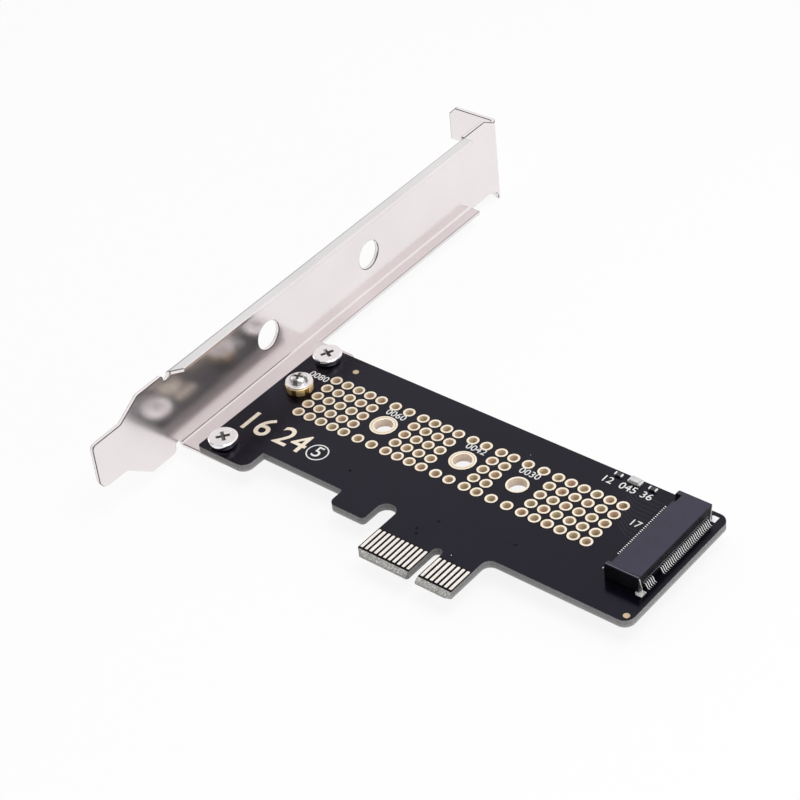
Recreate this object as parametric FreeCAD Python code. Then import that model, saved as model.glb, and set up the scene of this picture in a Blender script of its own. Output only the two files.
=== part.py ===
import FreeCAD, Part
import math
import os

from FreeCAD import Vector

# Card adapter: a short card-edge board with one module socket, held by a folded slot bracket.
# Millimetres. The origin is the module socket's datum on the board's top face, where the module
# lengths are measured from. +X runs away from the bracket, +Y away from the card edge, and +Z is
# the component side.

# Board
board_thick = 1.6
board_left = -84.85
board_right = 5.25
board_top = 12.65
board_low = -17.75
board_corner = 2.0

# Heel beside the bracket, and the retention hook between heel and tongue
heel_right = -73.4
heel_low = -22.75
hook_width = 7.8
hook_slot_width = 3.87
hook_low = -21.7
hook_slot_top = -15.97

# Card edge: an x1 tongue with eighteen fingers a side and a key notch
key_x = -31.03
key_width = 2.0
key_top = -20.3
finger_pitch = 1.0
finger_width = 0.72
fingers_before_key = 11
fingers_after_key = 7
finger_length = 5.2
finger_setback = 1.25
tongue_low = -28.6
bevel_depth = 0.5
bevel_run = 0.8
tongue_corner = 0.9

# Copper that stands proud of the board
copper_thick = 0.05

# Module holes: the module lengths that they serve, and the copper rings round them
module_lengths = (30.0, 42.0, 60.0, 80.0)
module_hole_radius = 1.75
module_ring_widths = (0.35, 0.85, 0.85, 0.85)

# Heat holes, eight-sided here: the first and last columns of each full block, and the pairs
# beside the module holes
heat_pitch = 2.7
heat_rows = 5
heat_blocks = ((-75.67, -64.87), (-55.12, -47.02), (-37.48, -34.78), (-25.1, -11.6))
heat_pair_columns = (-61.54, -58.37, -43.81, -40.83, -31.61, -28.26)
heat_hole_radius = 0.72
heat_hole_sides = 8

# Bracket screws, set in from the heel's lower edge and from the board's upper edge
screw_x = -81.25
screw_inset = 3.15
screw_radius = 1.5
screw_head_radius = 2.8
screw_head_height = 1.6
screw_head_round = 0.45
screw_recess = (1.4, 0.55, 0.9)
screw_clearance = 0.1
thread_gap = 0.05
screw_tip = 0.5
recess_turn = 25

# Bracket: folded sheet, turned a little on its screws as it sits on the card
sheet = 0.8
bend_inner = 0.5
bracket_face_x = -89.77
bracket_turn = 1.2
bracket_high = 15.1
bracket_length = 120.02
lip_inset = 0.15
tail_reach = 20.27
end_plate = 11.15
upper_lip = 2.05
lower_lip = 2.5
lip_cut_long = 2.0
lip_cut_short = 0.1
relief_width = 1.4
relief_past_bend = 0.35
relief_round_gap = 0.05
face_hole_radius = 2.93
face_holes_y = (3.5, 33.7)
face_hole_z = 6.1
tail_low = 1.7
tail_high = 11.75
tail_low_straight = 6.6
tail_high_straight = 7.2
shoulder_low = -2.75
shoulder_high = 14.9
shoulder_straight = 6.55
tab_tip = 11.85
tab_low = -5.1
tab_high = 13.35
tab_flare = 3.0
tab_corner = 1.6
tab_notch_z = 3.4
tab_notch_radius = 2.21
tab_notch_depth = 6.2
ear_past_screw = 3.48
ear_beside_screw = 5.05
ear_neck = 6.0
ear_corner = 2.5
ear_neck_corner = 1.5

# Standoff, its nut and the module screw
standoff_radius = 2.65
standoff_height = 1.5
standoff_stub_radius = 1.5
nut_across_flats = 4.0
nut_height = 1.2
module_screw_radius = 1.0
module_screw_length = 2.4
module_flange_radius = 2.57
module_flange_height = 0.35
module_head_radius = 1.8
module_head_height = 1.0
module_head_round = 0.5
module_recess = (0.95, 0.4, 0.7)
standoff_chamfer = 0.15

# Socket contacts: seventy-five places, odd ones at the rear, less the key's
pin_places = range(1, 76)
pin_stagger = 0.25
key_pins = range(59, 67)
contact_width = 0.22
contact_thick = 0.15
rear_tail = 1.0
rear_contact_top = 1.05
front_tail = 0.85
front_contact_top = 0.75

# Module socket, as wide as its contact rows need
jaw_margin = 0.75
socket_cheek = 0.95
socket_height = 3.2
socket_lift = 0.1
socket_rear = 2.7
cover_front = -2.8
cheek_front = -4.1
cheek_chamfer = 0.3
jaw_front = -4.7
slot_low = 1.15
slot_high = 2.45
slot_end_wall = 1.3
slot_lead = 0.25
key_rib_place = 62.5
key_rib_width = 0.95
key_rib_inset = 0.5
peg_x = -1.0
peg_inset = 0.75
peg_radii = (0.55, 0.8)
peg_gap = 0.05
peg_short = 0.4

# Socket anchors
anchor_gap = 0.3
anchor_beside = 0.75
anchor_behind = 0.9
anchor_along = 1.4
anchor_leg_below = 0.2

# Small parts, set in from the board's upper edge
small_part_inset = 1.15
small_part_lift = 0.03
resistor_xs = (-16.65, -9.6)
resistor_size = (1.6, 0.8, 0.45)
resistor_cap = 0.3
led_x = -13.2
led_size = (2.6, 1.25, 0.85)
led_cap = 0.35
led_cap_height = 0.5

# Fiducial marks
fiducial_places = ((-74.3, 9.35), (4.0, -16.35))
fiducial_radius = 0.6

# Levels and lines that follow from the sizes above
board_under = -board_thick
bracket_low = board_under - sheet
bend_outer = bend_inner + sheet
screw_ys = (heel_low + screw_inset, board_top - screw_inset)
lip_start = heel_low + lip_inset
tail_tip = lip_start - tail_reach
bracket_end = tail_tip + bracket_length
lip_end = bracket_end - end_plate
tongue_left = key_x - key_width / 2 - finger_pitch * fingers_before_key
tongue_right = key_x + key_width / 2 + finger_pitch * fingers_after_key
hook_right = tongue_left - hook_slot_width
hook_left = hook_right - hook_width
pin_middle = (pin_places[0] + pin_places[-1]) / 2
jaw_half = (pin_middle - pin_places[0]) * pin_stagger + jaw_margin
socket_half = jaw_half + socket_cheek
small_part_y = board_top - small_part_inset
origin = Vector(0, 0, 0)
up = Vector(0, 0, 1)


def rounded_wire(points):
    """A closed wire in the XY plane through points (x, y) or (x, y, corner radius)."""
    corners = [(Vector(p[0], p[1], 0), p[2] if len(p) > 2 else 0) for p in points]
    ends = []
    for i, (corner, radius) in enumerate(corners):
        before = (corners[i - 1][0] - corner).normalize()
        after = (corners[(i + 1) % len(corners)][0] - corner).normalize()
        if radius == 0:
            ends.append((corner, None, corner))
            continue
        half = before.getAngle(after) / 2
        reach = radius / math.tan(half)
        middle = (before + after).normalize() * (radius / math.sin(half) - radius)
        ends.append((corner + before * reach, corner + middle, corner + after * reach))
    edges = []
    for i, (start, middle, end) in enumerate(ends):
        if middle:
            edges.append(Part.Arc(start, middle, end).toShape())
        following = ends[(i + 1) % len(ends)][0]
        if end.distanceToPoint(following) > 1e-6:
            edges.append(Part.makeLine(end, following))
    return Part.Wire(edges)


def prism(wires, low, high):
    """A plate along Z between two levels; the wires after the first are holes."""
    face = Part.makeFace(wires, "Part::FaceMakerBullseye")
    solid = face.extrude(Vector(0, 0, high - low))
    solid.translate(Vector(0, 0, low))
    return solid


def prism_x(points, low, high):
    """A plate along X, from an outline of (y, z) points."""
    solid = prism([rounded_wire(points)], low, high)
    solid.rotate(origin, Vector(1, 1, 1), 120)
    return solid


def prism_y(points, low, high):
    """A plate along Y, from an outline of (x, z) points."""
    solid = prism([rounded_wire([(p[1], p[0]) + tuple(p[2:]) for p in points])], low, high)
    solid.rotate(origin, Vector(1, 1, 1), 240)
    return solid


def circle(x, y, radius):
    return Part.Wire(Part.makeCircle(radius, Vector(x, y, 0), up))


def polygon(x, y, radius, sides, turn=0.0):
    angles = [turn + 2 * math.pi * i / sides for i in range(sides)]
    return rounded_wire([(x + radius * math.cos(a), y + radius * math.sin(a)) for a in angles])


def turned(points, x, y):
    """A solid of revolution about the vertical at x, y, from (radius, z) points."""
    corners = [Vector(p[0], 0, p[1]) for p in points]
    solid = Part.Face(Part.makePolygon(corners + corners[:1])).revolve(origin, up, 360)
    solid.translate(Vector(x, y, 0))
    return solid


def box(x_low, x_high, y_low, y_high, z_low, z_high):
    corner = Vector(x_low, y_low, z_low)
    return Part.makeBox(x_high - x_low, y_high - y_low, z_high - z_low, corner)


def fused(solids):
    return solids[0].multiFuse(solids[1:]).removeSplitter()


def save(name, solids):
    """Write one node as its separate solids."""
    shape = solids[0] if len(solids) == 1 else Part.makeCompound(solids)
    shape.exportStep("parts/" + name + ".step")
    print(name, len(shape.Solids), round(shape.Volume, 2))


def heat_hole_places():
    middle_row = (heat_rows - 1) / 2
    rows = [heat_pitch * (i - middle_row) for i in range(heat_rows)]
    columns = []
    for first, last in heat_blocks:
        steps = round((last - first) / heat_pitch)
        columns += [first + heat_pitch * i for i in range(steps + 1)]
    full = [(x, y) for x in columns for y in rows]
    return full + [(x, y) for x in heat_pair_columns for y in (rows[0], rows[-1])]


def finger_centres():
    before = [tongue_left + finger_pitch * (i + 0.5) for i in range(fingers_before_key)]
    right = key_x + key_width / 2
    return before + [right + finger_pitch * (i + 0.5) for i in range(fingers_after_key)]


def board_outline():
    left, right = tongue_left, tongue_right
    key_left, key_right = key_x - key_width / 2, key_x + key_width / 2
    key_round = key_width / 2
    slot_round = hook_slot_width / 2
    return rounded_wire([
        (board_left, heel_low, 0.6),
        (heel_right, heel_low, board_corner),
        (heel_right, board_low),
        (hook_left, board_low, 0.6),
        (hook_left, hook_low, 1.3),
        (hook_right, hook_low, 0.8),
        (hook_right, hook_slot_top, slot_round),
        (left, hook_slot_top, slot_round),
        (left, tongue_low + tongue_corner),
        (left + tongue_corner, tongue_low),
        (key_left, tongue_low),
        (key_left, key_top, key_round),
        (key_right, key_top, key_round),
        (key_right, tongue_low),
        (right - tongue_corner, tongue_low),
        (right, tongue_low + tongue_corner),
        (right, board_low, 1.8),
        (board_right, board_low, board_corner),
        (board_right, board_top, board_corner),
        (board_left, board_top, 0.6),
    ])


def circuit_board():
    wires = [board_outline()]
    wires += [circle(-length, 0, module_hole_radius) for length in module_lengths]
    wires += [circle(screw_x, y, screw_radius + screw_clearance) for y in screw_ys]
    wires += [circle(peg_x, y, radius + peg_gap) for y, radius in peg_places()]
    turn = math.pi / heat_hole_sides
    wires += [polygon(x, y, heat_hole_radius, heat_hole_sides, turn) for x, y in heat_hole_places()]
    board = prism(wires, board_under, 0)
    nose = [
        (tongue_low, 0),
        (tongue_low, -bevel_depth),
        (tongue_low + bevel_run, 0),
    ]
    upper = prism_x(nose, tongue_left, tongue_right)
    lower = upper.mirror(Vector(0, 0, board_under / 2), up)
    return board.cut(upper).cut(lower)


def edge_fingers(low):
    half = finger_width / 2
    end = tongue_low + finger_setback
    start = end + finger_length
    return [box(x - half, x + half, end, start, low, low + copper_thick) for x in finger_centres()]


def module_hole_ring(length, width):
    """The copper ring round one module hole."""
    rings = [circle(-length, 0, module_hole_radius + width), circle(-length, 0, module_hole_radius)]
    return prism(rings, 0, copper_thick)


def bracket_section():
    """The bracket's U section, in (x, z) from the face's inner side."""
    return [
        (lower_lip, bracket_low),
        (-sheet, bracket_low, bend_outer),
        (-sheet, bracket_high, bend_outer),
        (upper_lip, bracket_high),
        (upper_lip, bracket_high - sheet),
        (0, bracket_high - sheet, bend_inner),
        (0, bracket_low + sheet, bend_inner),
        (lower_lip, bracket_low + sheet),
    ]


def bracket_face_outline():
    """Tail, shoulder, flat of the face and flare to the screw tab, in (y, z)."""
    bend_start = bracket_end - bend_outer
    flat_low = bracket_low + bend_outer
    flat_high = bracket_high - bend_outer
    relief = lip_start - relief_width
    relief_low = flat_low + relief_past_bend
    relief_high = flat_high - relief_past_bend
    relief_round = relief_width / 2 - relief_round_gap
    widening = relief - shoulder_straight
    flare = bracket_low - tab_low
    return [
        (tail_tip, tail_low, 2.2),
        (tail_tip + tail_low_straight, tail_low, 1.5),
        (widening, shoulder_low, 1.5),
        (relief, shoulder_low, 1.1),
        (relief, relief_low, relief_round),
        (lip_start, relief_low, relief_round),
        (lip_start, flat_low),
        (lip_end, flat_low),
        (lip_end, bracket_low),
        (bend_start, bracket_low, flare),
        (bend_start, tab_low),
        (bend_start, tab_high),
        (bend_start - tab_flare, bracket_high),
        (lip_end, bracket_high),
        (lip_end, flat_high),
        (lip_start, flat_high),
        (lip_start, relief_high, relief_round),
        (relief, relief_high, relief_round),
        (relief, shoulder_high, 0.6),
        (widening, shoulder_high, 1.0),
        (tail_tip + tail_high_straight, tail_high, 1.0),
        (tail_tip, tail_high, 1.0),
    ]


def bracket_tab():
    """The screw tab at the far end, bent away from the board, with its open notch."""
    bend_start = bracket_end - bend_outer
    profile = rounded_wire([
        (0, bend_start),
        (0, bracket_end, bend_outer),
        (-tab_tip, bracket_end),
        (-tab_tip, bracket_end - sheet),
        (-sheet, bracket_end - sheet, bend_inner),
        (-sheet, bend_start),
    ])
    tab = prism([profile], tab_low, tab_high)
    corners = []
    for edge, inward in ((tab_high, -1), (tab_low, 1)):
        corners.append(prism_y([
            (-tab_tip, edge),
            (-tab_tip, edge + inward * tab_corner),
            (-tab_tip + tab_corner, edge),
        ], bracket_end - sheet, bracket_end))
    notch_end = -tab_tip + tab_notch_depth
    past_tip = -tab_tip - tab_notch_radius
    notch = prism_y([
        (past_tip, tab_notch_z - tab_notch_radius),
        (notch_end, tab_notch_z - tab_notch_radius, tab_notch_radius),
        (notch_end, tab_notch_z + tab_notch_radius, tab_notch_radius),
        (past_tip, tab_notch_z + tab_notch_radius),
    ], bracket_end - sheet, bracket_end)
    return tab.cut(corners[0]).cut(corners[1]).cut(notch)


def bracket_ears():
    """Two ears under the board, one for each screw, joined along the lower lip."""
    reach = screw_x - bracket_face_x + ear_past_screw
    first_top = screw_ys[0] + ear_beside_screw
    second_low = screw_ys[1] - ear_beside_screw
    second_top = screw_ys[1] + ear_beside_screw
    return prism([rounded_wire([
        (bend_inner, lip_start),
        (reach, lip_start, ear_corner),
        (reach, first_top, ear_corner),
        (ear_neck, first_top, ear_neck_corner),
        (ear_neck, second_low, ear_neck_corner),
        (reach, second_low, ear_corner),
        (reach, second_top, ear_corner),
        (bend_inner, second_top),
    ])], bracket_low, board_under)


def lip_corner():
    """What is cut from the upper lip's near corner."""
    return prism([rounded_wire([
        (bend_inner, lip_start),
        (upper_lip, lip_start),
        (upper_lip, lip_start + lip_cut_long),
        (bend_inner, lip_start + lip_cut_short),
    ])], bracket_high - sheet, bracket_high)


def bracket():
    folded = prism_y(bracket_section(), lip_start, lip_end)
    face = prism_x(bracket_face_outline(), -sheet, 0)
    solid = fused([folded, face, bracket_tab(), bracket_ears()]).cut(lip_corner())
    for y in face_holes_y:
        start = Vector(-2 * sheet, y, face_hole_z)
        solid = solid.cut(Part.makeCylinder(face_hole_radius, 3 * sheet, start, Vector(1, 0, 0)))
    solid.rotate(origin, up, bracket_turn)
    solid.translate(Vector(bracket_face_x, 0, 0))
    for y in screw_ys:
        start = Vector(screw_x, y, bracket_low - sheet)
        solid = solid.cut(Part.makeCylinder(screw_radius + thread_gap, 3 * sheet, start, up))
    return solid


def cross_recess(x, y, top, recess):
    """Two crossed slots to cut from a screw head, from their reach, width and depth."""
    reach, width, depth = recess
    half = width / 2
    first = box(x - reach, x + reach, y - half, y + half, top - depth, top + 1)
    second = box(x - half, x + half, y - reach, y + reach, top - depth, top + 1)
    slots = first.fuse(second)
    slots.rotate(Vector(x, y, 0), up, recess_turn)
    return slots


def bracket_screw(y):
    top = screw_head_height
    tip = bracket_low - screw_tip
    body = turned([
        (0, top),
        (0, tip),
        (screw_radius, tip),
        (screw_radius, 0),
        (screw_head_radius, 0),
        (screw_head_radius, top - screw_head_round),
        (screw_head_radius - screw_head_round, top),
    ], screw_x, y)
    return body.cut(cross_recess(screw_x, y, top, screw_recess))


def standoff():
    bore = module_screw_radius + thread_gap
    top = copper_thick + standoff_height
    tip = board_under - nut_height
    return turned([
        (bore, top),
        (bore, tip),
        (standoff_stub_radius, tip),
        (standoff_stub_radius, copper_thick),
        (standoff_radius, copper_thick),
        (standoff_radius, top - standoff_chamfer),
        (standoff_radius - standoff_chamfer, top),
    ], -module_lengths[-1], 0)


def standoff_nut():
    x = -module_lengths[-1]
    hexagon = polygon(x, 0, nut_across_flats / math.sqrt(3), 6)
    bore = circle(x, 0, standoff_stub_radius + thread_gap)
    return prism([hexagon, bore], board_under - nut_height, board_under)


def module_screw():
    x = -module_lengths[-1]
    seat = copper_thick + standoff_height
    ledge = seat + module_flange_height
    top = ledge + module_head_height
    tip = seat - module_screw_length
    body = turned([
        (0, top),
        (0, tip),
        (module_screw_radius, tip),
        (module_screw_radius, seat),
        (module_flange_radius, seat),
        (module_flange_radius, ledge),
        (module_head_radius, ledge),
        (module_head_radius, top - module_head_round),
        (module_head_radius - module_head_round, top),
    ], x, 0)
    return body.cut(cross_recess(x, 0, top, module_recess))


def socket_housing():
    """The moulded body: jaws round the module's edge, cheeks, key rib and two pegs."""
    slot_end = socket_rear - slot_end_wall
    jaws = prism_y([
        (jaw_front, socket_lift),
        (socket_rear, socket_lift),
        (socket_rear, socket_height),
        (cover_front, socket_height),
        (cover_front, slot_high + slot_lead),
        (cover_front + slot_lead, slot_high),
        (slot_end, slot_high),
        (slot_end, slot_low),
        (jaw_front + slot_lead, slot_low),
        (jaw_front, slot_low - slot_lead),
    ], -jaw_half, jaw_half)
    cheek = [
        (cheek_front, socket_lift),
        (socket_rear, socket_lift),
        (socket_rear, socket_height),
        (cheek_front + cheek_chamfer, socket_height),
        (cheek_front, socket_height - cheek_chamfer),
    ]
    cheeks = [prism_y(cheek, jaw_half, socket_half), prism_y(cheek, -socket_half, -jaw_half)]
    rib_y = pin_y(key_rib_place)
    rib_half = key_rib_width / 2
    rib = box(cover_front + key_rib_inset, slot_end, rib_y - rib_half, rib_y + rib_half, slot_low, slot_high)
    pegs = []
    for y, radius in peg_places():
        foot = Vector(peg_x, y, board_under + peg_short)
        pegs.append(Part.makeCylinder(radius, socket_lift - foot.z, foot, up))
    return fused([jaws, rib] + cheeks + pegs)


def peg_places():
    y = jaw_half - peg_inset
    return zip((-y, y), peg_radii)


def pin_y(pin):
    return (pin_middle - pin) * pin_stagger


def live_pins(first):
    """Every second contact place from the first one, less the key's."""
    return [pin for pin in pin_places if pin % 2 == first % 2 and pin not in key_pins]


def contact(outline, y):
    half = contact_width / 2
    return prism_y(outline, y - half, y + half)


def rear_contacts():
    outline = [
        (socket_rear, 0),
        (socket_rear + rear_tail, 0),
        (socket_rear + rear_tail, contact_thick),
        (socket_rear + contact_thick, contact_thick),
        (socket_rear + contact_thick, rear_contact_top),
        (socket_rear, rear_contact_top),
    ]
    return [contact(outline, pin_y(pin)) for pin in live_pins(1)]


def front_contacts():
    outline = [
        (jaw_front - front_tail, 0),
        (jaw_front, 0),
        (jaw_front, front_contact_top),
        (jaw_front - contact_thick, front_contact_top),
        (jaw_front - contact_thick, contact_thick),
        (jaw_front - front_tail, contact_thick),
    ]
    return [contact(outline, pin_y(pin)) for pin in live_pins(2)]


def socket_anchor(side):
    """Solder foot beside a rear corner, with its strip up the socket's rear wall."""
    inner = side * (jaw_half + anchor_gap)
    outer = side * (socket_half + anchor_beside)
    beside = sorted((side * socket_half, outer))
    behind = sorted((inner, outer))
    strip = sorted((inner, side * socket_half))
    front = socket_rear - anchor_along
    rear = socket_rear + anchor_behind
    leg_rear = socket_rear + contact_thick
    leg_top = socket_height - anchor_leg_below
    return fused([
        box(front, rear, beside[0], beside[1], 0, contact_thick),
        box(socket_rear, rear, behind[0], behind[1], 0, contact_thick),
        box(socket_rear, leg_rear, strip[0], strip[1], 0, leg_top),
    ])


def chip(x, size, cap, cap_height):
    """A two-ended chip part: its body and its two end caps."""
    length, depth, height = size
    low, high = small_part_y - depth / 2, small_part_y + depth / 2
    left, right = x - length / 2, x + length / 2
    body = box(left + cap, right - cap, low, high, small_part_lift, height)
    ends = ((left, left + cap), (right - cap, right))
    return body, [box(start, end, low, high, 0, cap_height) for start, end in ends]


def fiducial(x, y):
    return prism([circle(x, y, fiducial_radius)], 0, copper_thick)


os.makedirs("parts", exist_ok=True)

save("circuit_board", [circuit_board()])
save("edge_fingers_front", edge_fingers(0))
save("edge_fingers_back", edge_fingers(board_under - copper_thick))
for length, width in zip(module_lengths, module_ring_widths):
    save("module_hole_ring_%d" % length, [module_hole_ring(length, width)])
save("fiducial_marks", [fiducial(x, y) for x, y in fiducial_places])
save("bracket", [bracket()])
save("bracket_screws", [bracket_screw(y) for y in screw_ys])
save("standoff", [standoff()])
save("standoff_nut", [standoff_nut()])
save("module_screw", [module_screw()])
save("socket_housing", [socket_housing()])
save("socket_rear_contacts", rear_contacts())
save("socket_front_contacts", front_contacts())
save("socket_anchors", [socket_anchor(side) for side in (-1, 1)])

resistors = [chip(x, resistor_size, resistor_cap, resistor_size[2]) for x in resistor_xs]
save("resistor_bodies", [body for body, caps in resistors])
save("resistor_terminals", [cap for body, caps in resistors for cap in caps])
led_lens, led_terminals = chip(led_x, led_size, led_cap, led_cap_height)
save("led_lens", [led_lens])
save("led_terminals", led_terminals)
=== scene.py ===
# Dresses the card adapter: board, bracket, socket, screws and print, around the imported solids.
import math

import bmesh
import bpy
from mathutils import Matrix, Vector


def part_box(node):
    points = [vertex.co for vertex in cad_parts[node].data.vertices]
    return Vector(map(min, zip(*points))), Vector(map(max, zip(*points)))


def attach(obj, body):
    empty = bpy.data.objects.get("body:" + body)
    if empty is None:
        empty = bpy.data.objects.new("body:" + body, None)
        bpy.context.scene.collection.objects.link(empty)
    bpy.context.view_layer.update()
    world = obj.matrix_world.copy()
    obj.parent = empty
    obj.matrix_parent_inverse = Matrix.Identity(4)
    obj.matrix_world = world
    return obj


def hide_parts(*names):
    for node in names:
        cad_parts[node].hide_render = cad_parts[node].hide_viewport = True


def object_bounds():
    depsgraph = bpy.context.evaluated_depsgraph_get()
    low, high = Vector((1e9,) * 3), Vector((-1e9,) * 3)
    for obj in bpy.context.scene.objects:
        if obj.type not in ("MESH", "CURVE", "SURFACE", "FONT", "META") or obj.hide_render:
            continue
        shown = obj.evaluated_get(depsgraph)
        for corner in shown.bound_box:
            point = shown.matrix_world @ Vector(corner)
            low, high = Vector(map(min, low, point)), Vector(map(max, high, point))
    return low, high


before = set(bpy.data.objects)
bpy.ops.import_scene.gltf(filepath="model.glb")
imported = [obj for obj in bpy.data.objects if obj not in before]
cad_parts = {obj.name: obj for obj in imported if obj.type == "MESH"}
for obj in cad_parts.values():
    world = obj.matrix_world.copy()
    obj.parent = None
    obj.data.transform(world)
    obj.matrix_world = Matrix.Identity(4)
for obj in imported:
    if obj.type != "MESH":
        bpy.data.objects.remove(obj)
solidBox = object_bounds()
mm = 0.001
boardLow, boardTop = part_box("circuit_board")[0].z, 0.0  # the board's two faces


# Studio

camera = {
    "place": (0.159298, -0.231279, 0.256062),
    "right": (0.77526, 0.62556, -0.08737),
    "down": (0.33644, -0.52605, -0.78108),
    "forward": (-0.53458, 0.57615, -0.61829),
    "lens": 102.18,
    "sensor": 36,
    "near": 0.01,
}
studio = {
    "worldColour": (1.0, 0.99, 0.995, 1.0),
    "worldLight": 0.80,
    "darkSide": (0.62, -0.67, 0.40),
    "darkSpan": (0.10, 0.80),
    "darkLevel": 0.22,
    "lamps": {
        "key": {"place": (0.12, 0.02, 0.55), "size": 0.40, "energy": 1.5},
        "side": {"place": (0.45, -0.02, 0.22), "size": 0.30, "energy": 0.5},
    },
    "lampAim": (-0.04, 0.0, 0.0),
    "floorColour": (0.92, 0.92, 0.92, 1.0),
    "floorGlow": 0.88,
    "floorRough": 0.9,
    "floorHalf": 3,
    "floorGap": 0.1 * mm,
}


def makeCamera():
    lens = bpy.data.cameras.new("camera")
    lens.lens = camera["lens"]
    lens.sensor_width = camera["sensor"]
    lens.clip_start = camera["near"]
    holder = bpy.data.objects.new("camera", lens)
    right, down, forward = (Vector(camera[k]) for k in ("right", "down", "forward"))
    turn = Matrix((right, -down, -forward)).transposed().to_4x4()
    holder.matrix_world = Matrix.Translation(camera["place"]) @ turn
    bpy.context.scene.collection.objects.link(holder)
    bpy.context.scene.camera = holder


def makeLamp(name, look):
    lamp = bpy.data.lights.new(name, "AREA")
    lamp.shape = "DISK"
    lamp.size = look["size"]
    lamp.energy = look["energy"]
    holder = bpy.data.objects.new(name, lamp)
    holder.location = look["place"]
    aim = Vector(studio["lampAim"]) - Vector(look["place"])
    holder.rotation_euler = aim.to_track_quat("-Z", "Y").to_euler()
    bpy.context.scene.collection.objects.link(holder)


def addMath(nodes, links, operation, first, second):
    step = nodes.new("ShaderNodeMath")
    step.operation = operation
    links.new(first, step.inputs[0])
    if isinstance(second, float):
        step.inputs[1].default_value = second
    else:
        links.new(second, step.inputs[1])
    return step.outputs[0]


def addSeen(nodes, links):
    # camera rays alone, and the same with the rays that metal and glass send
    path = nodes.new("ShaderNodeLightPath").outputs
    seen = path["Is Camera Ray"]
    for other in ("Is Glossy Ray", "Is Transmission Ray"):
        seen = addMath(nodes, links, "MAXIMUM", seen, path[other])
    return path["Is Camera Ray"], seen


def mixShaders(nodes, links, factor, first, second, end):
    mix = nodes.new("ShaderNodeMixShader")
    links.new(factor, mix.inputs["Fac"])
    links.new(first.outputs[0], mix.inputs[1])
    links.new(second.outputs[0], mix.inputs[2])
    links.new(mix.outputs[0], end.inputs["Surface"])


def makeWorld():
    world = bpy.data.worlds.new("studio")
    world.use_nodes = True
    bpy.context.scene.world = world
    nodes, links = world.node_tree.nodes, world.node_tree.links
    light = nodes["Background"]
    light.inputs["Color"].default_value = studio["worldColour"]
    ray = nodes.new("ShaderNodeTexCoord")
    toward = nodes.new("ShaderNodeVectorMath")
    toward.operation = "DOT_PRODUCT"
    toward.inputs[1].default_value = studio["darkSide"]
    links.new(ray.outputs["Generated"], toward.inputs[0])
    fade = addRange(nodes, links, toward.outputs["Value"], 1.0, studio["darkLevel"], *studio["darkSpan"])
    fade.node.interpolation_type = "SMOOTHSTEP"
    direct, seen = addSeen(nodes, links)
    # dimmer as soft light than in what metal shows
    level = addRange(nodes, links, seen, studio["worldLight"], 1.0, 0.0, 1.0)
    links.new(addMath(nodes, links, "MULTIPLY", fade, level), light.inputs["Strength"])
    white = nodes.new("ShaderNodeBackground")
    white.inputs["Color"].default_value = (1, 1, 1, 1)
    mixShaders(nodes, links, direct, light, white, nodes["World Output"])


def makeFloor():
    bm = bmesh.new()
    bmesh.ops.create_grid(bm, x_segments=1, y_segments=1, size=studio["floorHalf"])
    moveBy(bm, 0, 0, solidBox[0][2] - studio["floorGap"])
    mesh = bpy.data.meshes.new("floor")
    bm.to_mesh(mesh)
    bm.free()
    floor = bpy.data.objects.new("floor", mesh)
    bpy.context.scene.collection.objects.link(floor)
    material, nodes, links, shader = newMaterial("floorPaper")
    setInputs(shader, {"Base Color": studio["floorColour"], "Roughness": studio["floorRough"],
                       "Specular IOR Level": 0.0})
    share = addMath(nodes, links, "MULTIPLY", addSeen(nodes, links)[1], studio["floorGlow"])
    glow = nodes.new("ShaderNodeEmission")  # keeps the paper white, with a faint shadow
    mixShaders(nodes, links, share, shader, glow, nodes["Material Output"])
    mesh.materials.append(material)


def makeStudio():
    makeWorld()
    makeFloor()
    for name, look in studio["lamps"].items():
        makeLamp(name, look)
    print("studio ready")


# Materials

surfaceLook = {"fineDetail": 3.0, "cloudDetail": 2.0, "bumpDepth": 0.02 * mm, "fleckSpan": (0.45, 0.75)}


def newMaterial(name):
    material = bpy.data.materials.new(name)
    material.use_nodes = True
    nodes, links = material.node_tree.nodes, material.node_tree.links
    return material, nodes, links, nodes["Principled BSDF"]


def setInputs(node, values):
    for name, value in values.items():
        node.inputs[name].default_value = value


def makeGrainGroup():
    group = bpy.data.node_groups.new("grain", "ShaderNodeTree")
    face = group.interface
    face.new_socket("Vector", in_out="INPUT", socket_type="NodeSocketVector")
    for name in ("Fine Scale", "Cloud Scale", "Stretch"):
        face.new_socket(name, in_out="INPUT", socket_type="NodeSocketFloat")
    for name in ("Fine", "Cloud"):
        face.new_socket(name, in_out="OUTPUT", socket_type="NodeSocketFloat")
    nodes, links = group.nodes, group.links
    start = nodes.new("NodeGroupInput")
    end = nodes.new("NodeGroupOutput")
    stretch = nodes.new("ShaderNodeCombineXYZ")
    setInputs(stretch, {"X": 1.0, "Z": 1.0})
    links.new(start.outputs["Stretch"], stretch.inputs["Y"])
    place = nodes.new("ShaderNodeVectorMath")
    place.operation = "MULTIPLY"
    links.new(start.outputs["Vector"], place.inputs[0])
    links.new(stretch.outputs[0], place.inputs[1])
    fine = nodes.new("ShaderNodeTexNoise")
    fine.inputs["Detail"].default_value = surfaceLook["fineDetail"]
    links.new(place.outputs[0], fine.inputs["Vector"])
    links.new(start.outputs["Fine Scale"], fine.inputs["Scale"])
    cloud = nodes.new("ShaderNodeTexNoise")
    cloud.inputs["Detail"].default_value = surfaceLook["cloudDetail"]
    links.new(start.outputs["Vector"], cloud.inputs["Vector"])
    links.new(start.outputs["Cloud Scale"], cloud.inputs["Scale"])
    links.new(fine.outputs["Fac"], end.inputs["Fine"])
    links.new(cloud.outputs["Fac"], end.inputs["Cloud"])
    return group


grainGroup = makeGrainGroup()


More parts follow.
